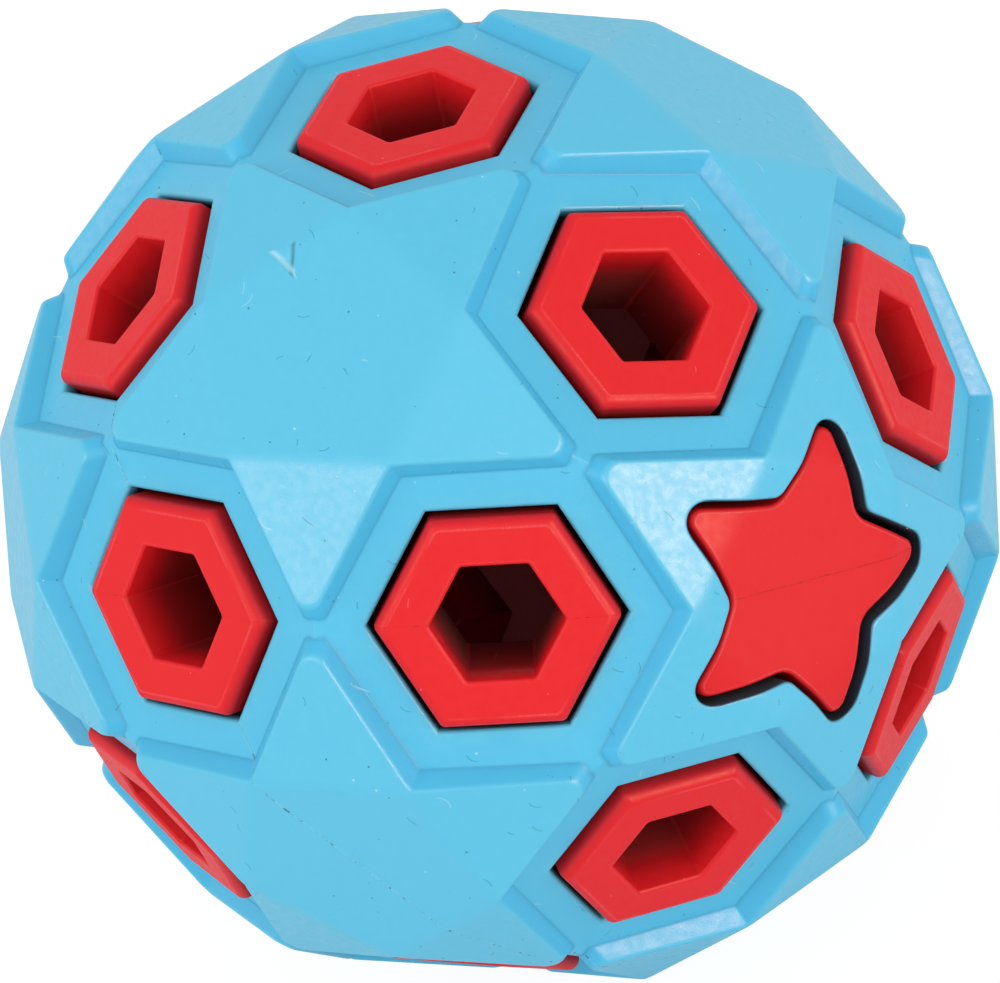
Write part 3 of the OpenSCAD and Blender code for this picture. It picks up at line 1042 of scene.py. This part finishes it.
# A six-sided tube with rounded corners, from the hollow of the ball out to its pocket
def makeTube():
    mesh = bmesh.new()
    top = floorHigh + tubeBody["rise"]
    place = Matrix.Translation((0, 0, top)) @ Matrix.Rotation(pi / 6, 4, "Z")
    outside, hole = tubeBody["across"] / 2, tubeBody["holeAcross"] / 2
    for radius in (outside, hole):
        bmesh.ops.create_circle(mesh, segments=6, radius=radius, matrix=place)
    face = bmesh.ops.bridge_loops(mesh, edges=mesh.edges[:])["faces"]
    drawn = bmesh.ops.extrude_face_region(mesh, geom=face, use_keep_orig=True)["geom"]
    for v in drawn:
        if isinstance(v, bmesh.types.BMVert):
            v.co.z = sqrt(cavityReach ** 2 - v.co.x ** 2 - v.co.y ** 2)
    bmesh.ops.recalc_face_normals(mesh, faces=mesh.faces)

    def roundEdges(edges, offset):
        bmesh.ops.bevel(
            mesh, geom=edges, offset=offset, offset_type="OFFSET", segments=tubeBody["steps"],
            profile=0.5, affect="EDGES", material=-1, clamp_overlap=True,
        )

    near = 0.001 * mm
    level, upright = 0.9999, 0.5  # upward share of a normal: more on a level face, less on an upright one
    between = (outside * cos(pi / 6) + hole) / 2
    for outer, radius in ((True, tubeBody["topRound"]), (False, tubeBody["holeRound"])):
        rim = [e for e in mesh.edges if all(abs(v.co.z - top) < near for v in e.verts)
               and any(abs(f.normal.z) < upright for f in e.link_faces)
               and (hypot(*e.verts[0].co.xy) > between) == outer]
        roundEdges(rim, radius)

    # A corner is the upright edge and the curve in which it runs on over the rounding to the end
    def atCorner(v):
        turn = atan2(v.co.y, v.co.x) % (pi / 3)
        return min(turn, pi / 3 - turn) * hypot(v.co.x, v.co.y) < near

    for outer, radius in ((True, tubeBody["sideRound"]), (False, tubeBody["holeSideRound"])):
        corner = [e for e in mesh.edges if all(
            atCorner(v) and (hypot(v.co.x, v.co.y) > between) == outer for v in e.verts)
            and abs(e.verts[0].co.z - e.verts[1].co.z) > near]
        roundEdges(corner, radius * tan(pi / 6))
    cutAlong(mesh, (0, 0, floorHigh), (0, 0, 1))
    bmesh.ops.recalc_face_normals(mesh, faces=mesh.faces)
    # Painted shade on the outer sides, from halfway down the rounding to the floor of the pocket
    sideShadeLayer = mesh.verts.layers.float.new("side")
    sideShadeTop = top - tubeBody["topRound"] / 2
    for v in mesh.verts:
        if hypot(v.co.x, v.co.y) > between:
            v[sideShadeLayer] = min(max((sideShadeTop - v.co.z) / (sideShadeTop - floorHigh), 0), 1)
    # Pale line round the end's lips, partly wear and partly painted highlight
    wearAndHighlightLayer = mesh.verts.layers.float.new("edge")
    end = [f for f in mesh.faces if f.normal.z > level]
    for v in {v for f in end for v in f.verts if any(g.normal.z < level for g in v.link_faces)}:
        v[wearAndHighlightLayer] = 1 if hypot(v.co.x, v.co.y) > between else tubeBody["holeWearAndHighlight"]
    bmesh.ops.inset_region(mesh, faces=end, thickness=tubeBody["landInset"], depth=0, use_even_offset=True)
    for v in {v for f in end for v in f.verts}:
        v[wearAndHighlightLayer] = 0
    return mesh


for name, axis in tubeAxes.items():
    mesh = makeTube()
    bmesh.ops.transform(mesh, matrix=turnTo(axis), verts=mesh.verts)
    grooveSeam(mesh, coreSeam, tubeBody["seamWide"], -tubeBody["seamRise"])
    finishPiece(name + "_rubber", mesh, tubeRubber, name)
print("tubes made")


# A star whose face follows the facets round it
def makeStar():
    faceShare = (flatHigh - star["drop"]) / flatHigh
    seatHigh = sqrt(coreReach ** 2 - star["tipReach"] ** 2)
    sideRows = 3
    turnShares = (0, 0.02, 0.04, 0.06, 0.08, 0.1, 0.125, 0.15, 0.2, 0.28, 0.37,
                  0.46, 0.55, 0.62, 0.68, 0.73, 0.78, 0.83, 0.88, 0.92, 0.96, 1)
    rimShares = (0, 0.15, 0.3, 0.4, 0.48, 0.55, 0.62, 0.69, 0.76, 0.83, 0.9, 0.95)
    starTurns = [sector * share for share in turnShares]

    def facePoint(reach, turn, drop=0):
        high = flatHigh * faceShare
        for settling in range(settleRounds):
            direction = Vector((reach * cos(turn), reach * sin(turn), high)).normalized()
            facets = sorted(planeMeet(direction, plane) for plane in spikePlanes)
            spikes = softMin(facets[0], facets[1], star["creaseSoft"])
            face = softMin(planeMeet(direction, flatPlane), spikes, star["creaseSoft"])
            high = face * direction.z * faceShare
        return Vector((reach * cos(turn), reach * sin(turn), high - drop))

    def rows(turn):
        rim = starReach(turn, -star["edgeRound"])
        return [rim * share for share in rimShares] + [rim - star["landInset"], rim]

    reaches = [rows(turn) for turn in starTurns]
    nets = [layNet(len(starTurns), len(reaches[0]), lambda i, j: facePoint(reaches[i][j], starTurns[i]))]

    def sidePoint(i, j):
        turn, radius = starTurns[i], star["edgeRound"]
        if j <= roundSteps:
            reach = starReach(turn, radius * (sin(quarter[j]) - 1))
            return facePoint(reach, turn, radius * (1 - cos(quarter[j])))
        rim = facePoint(starReach(turn, 0), turn, radius)
        rim.z += (seatHigh - rim.z) * (j - roundSteps) / sideRows
        return rim

    nets.append(layNet(len(starTurns), roundSteps + 1 + sideRows, sidePoint))

    def seatPoint(i, j):
        reach, turn = j * starReach(starTurns[i], 0), starTurns[i]
        return Vector((reach * cos(turn), reach * sin(turn), seatHigh))

    nets.append(layNet(len(starTurns), 2, seatPoint))
    whole = gatherCopies(nets, tenths)

    def faceVerts():
        return [v for v in whole.verts if v.co.z > (seatHigh + flatHigh) / 2]

    # One many-sided face in the middle takes the place of a fan of narrow ones
    middle = [v for v in faceVerts() if hypot(v.co.x, v.co.y) < samePlace]
    bmesh.ops.dissolve_verts(whole, verts=middle)
    # Pale line round the face's edge, partly wear and partly painted highlight
    wearAndHighlightLayer = whole.verts.layers.float.new("edge")
    for v in faceVerts():
        reach, turn = hypot(v.co.x, v.co.y), atan2(v.co.y, v.co.x)
        if abs(reach - starReach(turn, -star["edgeRound"])) < samePlace:
            v[wearAndHighlightLayer] = 1
    return whole


for name, axis in starAxes.items():
    mesh = makeStar()
    print(name, len(mesh.faces), "faces,", openEdges(mesh), "open edges")
    bmesh.ops.transform(mesh, matrix=turnTo(axis), verts=mesh.verts)
    grooveSeam(mesh, coreSeam, star["seamWide"], star["seamDeep"])
    finishPiece(name + "_rubber", mesh, starRubber, name)

for name in ("core_half_upper", "core_half_lower"):
    data = frame["nodes"][name].data
    data.materials.clear()
    data.materials.append(coreRubber)

# Camera, floor and light
camera = {
    "azimuth": 25.72, "elevation": 33.78, "roll": 12.59,  # degrees
    "distance": 604.2 * mm, "lens": 243.6, "sensor": 36,
    "shift": (0.0012, 0.0058), "clip": (0.01, 20),
}


def makeCamera():
    azimuth, elevation, roll = (radians(camera[k]) for k in ("azimuth", "elevation", "roll"))
    back = Vector((sin(azimuth) * cos(elevation), -cos(azimuth) * cos(elevation), sin(elevation)))
    levelRight = Vector((cos(azimuth), sin(azimuth), 0))
    levelUp = back.cross(levelRight)
    right = cos(roll) * levelRight - sin(roll) * levelUp
    data = bpy.data.cameras.new("camera")
    data.lens, data.sensor_width = camera["lens"], camera["sensor"]
    data.shift_x, data.shift_y = camera["shift"]
    data.clip_start, data.clip_end = camera["clip"]
    made = bpy.data.objects.new("camera", data)
    bpy.context.scene.collection.objects.link(made)
    turn = Matrix((right, back.cross(right), back)).transposed().to_4x4()
    made.matrix_world = Matrix.Translation(ballMiddle + back * camera["distance"]) @ turn
    bpy.context.scene.camera = made
    return right, back.cross(right), back


viewRight, viewUp, viewBack = makeCamera()

stage = {
    "floorWide": 6.0,
    "floorColour": (0.87, 0.87, 0.87, 1),
    "floorRough": 0.9,
    "floorShine": 0.1,
    "floorWhite": 0.85,        # share of plain white that the floor shows behind the ball
    "whiteStrength": 1.09,
    "world": 0.72,
    "floorGloss": 0.15,        # share of that white in what the ball reflects of the floor
    "lamps": [                 # right, up and towards the camera; width in metres; brightness
        {"from": (0.82, 0.0, 0.57), "wide": 0.5, "bright": 1.7},
        {"from": (-0.84, -0.1, 0.53), "wide": 0.5, "bright": 1.9},
        {"from": (0.0, 0.1, 1.0), "wide": 0.8, "bright": 1.2},
    ],
    "sheens": [                # soft boxes that only glossy rays see, so they draw the pale streaks
        {"from": (0.62, -0.02, 0.80), "wide": 0.32, "bright": 13.0},
        {"from": (-0.62, -0.12, 0.76), "wide": 0.32, "bright": 5.0},
    ],
    "sheenColour": (1.0, 0.62, 0.42),
    "lampDistance": 1.0,
}


def makeFloor():
    mesh = bmesh.new()
    bmesh.ops.create_grid(mesh, x_segments=1, y_segments=1, size=stage["floorWide"] / 2)
    data = bpy.data.meshes.new("floor")
    mesh.to_mesh(data)
    mesh.free()
    floor = bpy.data.objects.new("floor", data)
    bpy.context.scene.collection.objects.link(floor)
    material = bpy.data.materials.new("paleFloor")
    material.use_nodes = True
    tree = material.node_tree
    pale = tree.nodes["Principled BSDF"]
    pale.inputs["Base Color"].default_value = stage["floorColour"]
    pale.inputs["Roughness"].default_value = stage["floorRough"]
    pale.inputs["Specular IOR Level"].default_value = stage["floorShine"]
    white = addNode(tree, "ShaderNodeEmission", {"Color": (1, 1, 1, 1), "Strength": stage["whiteStrength"]})
    path = addNode(tree, "ShaderNodeLightPath")
    glossy = mathNode(tree, "MULTIPLY", path.outputs["Is Glossy Ray"], stage["floorGloss"])
    seen = mathNode(tree, "MAXIMUM", path.outputs["Is Camera Ray"], glossy)
    share = mathNode(tree, "MULTIPLY", seen, stage["floorWhite"])
    both = addNode(tree, "ShaderNodeMixShader", {0: share, 1: pale.outputs[0], 2: white.outputs[0]})
    tree.links.new(both.outputs[0], tree.nodes["Material Output"].inputs["Surface"])
    data.materials.append(material)


def makeLight():
    world = bpy.data.worlds.new("studio")
    bpy.context.scene.world = world
    world.use_nodes = True
    tree = world.node_tree
    path = addNode(tree, "ShaderNodeLightPath")
    seen = mathNode(tree, "MAXIMUM", path.outputs["Is Camera Ray"], path.outputs["Is Glossy Ray"])
    strength = mathNode(tree, "MULTIPLY_ADD", seen, 1 - stage["world"], stage["world"])
    background = tree.nodes["Background"]
    background.inputs["Color"].default_value = (1, 1, 1, 1)
    tree.links.new(strength, background.inputs["Strength"])
    for i, lamp in enumerate(stage["lamps"] + stage["sheens"]):
        data = bpy.data.lights.new("softbox" + str(i + 1), "AREA")
        data.size, data.energy = lamp["wide"], lamp["bright"]
        made = bpy.data.objects.new(data.name, data)
        bpy.context.scene.collection.objects.link(made)
        if lamp in stage["sheens"]:
            data.color = stage["sheenColour"]
            made.visible_diffuse = False
        side, up, near = lamp["from"]
        direction = (viewRight * side + viewUp * up + viewBack * near).normalized()
        made.location = ballMiddle + direction * stage["lampDistance"]
        made.rotation_mode = "QUATERNION"
        made.rotation_quaternion = direction.to_track_quat("Z", "Y")


makeFloor()
makeLight()
bpy.context.scene.view_settings.view_transform = "Standard"
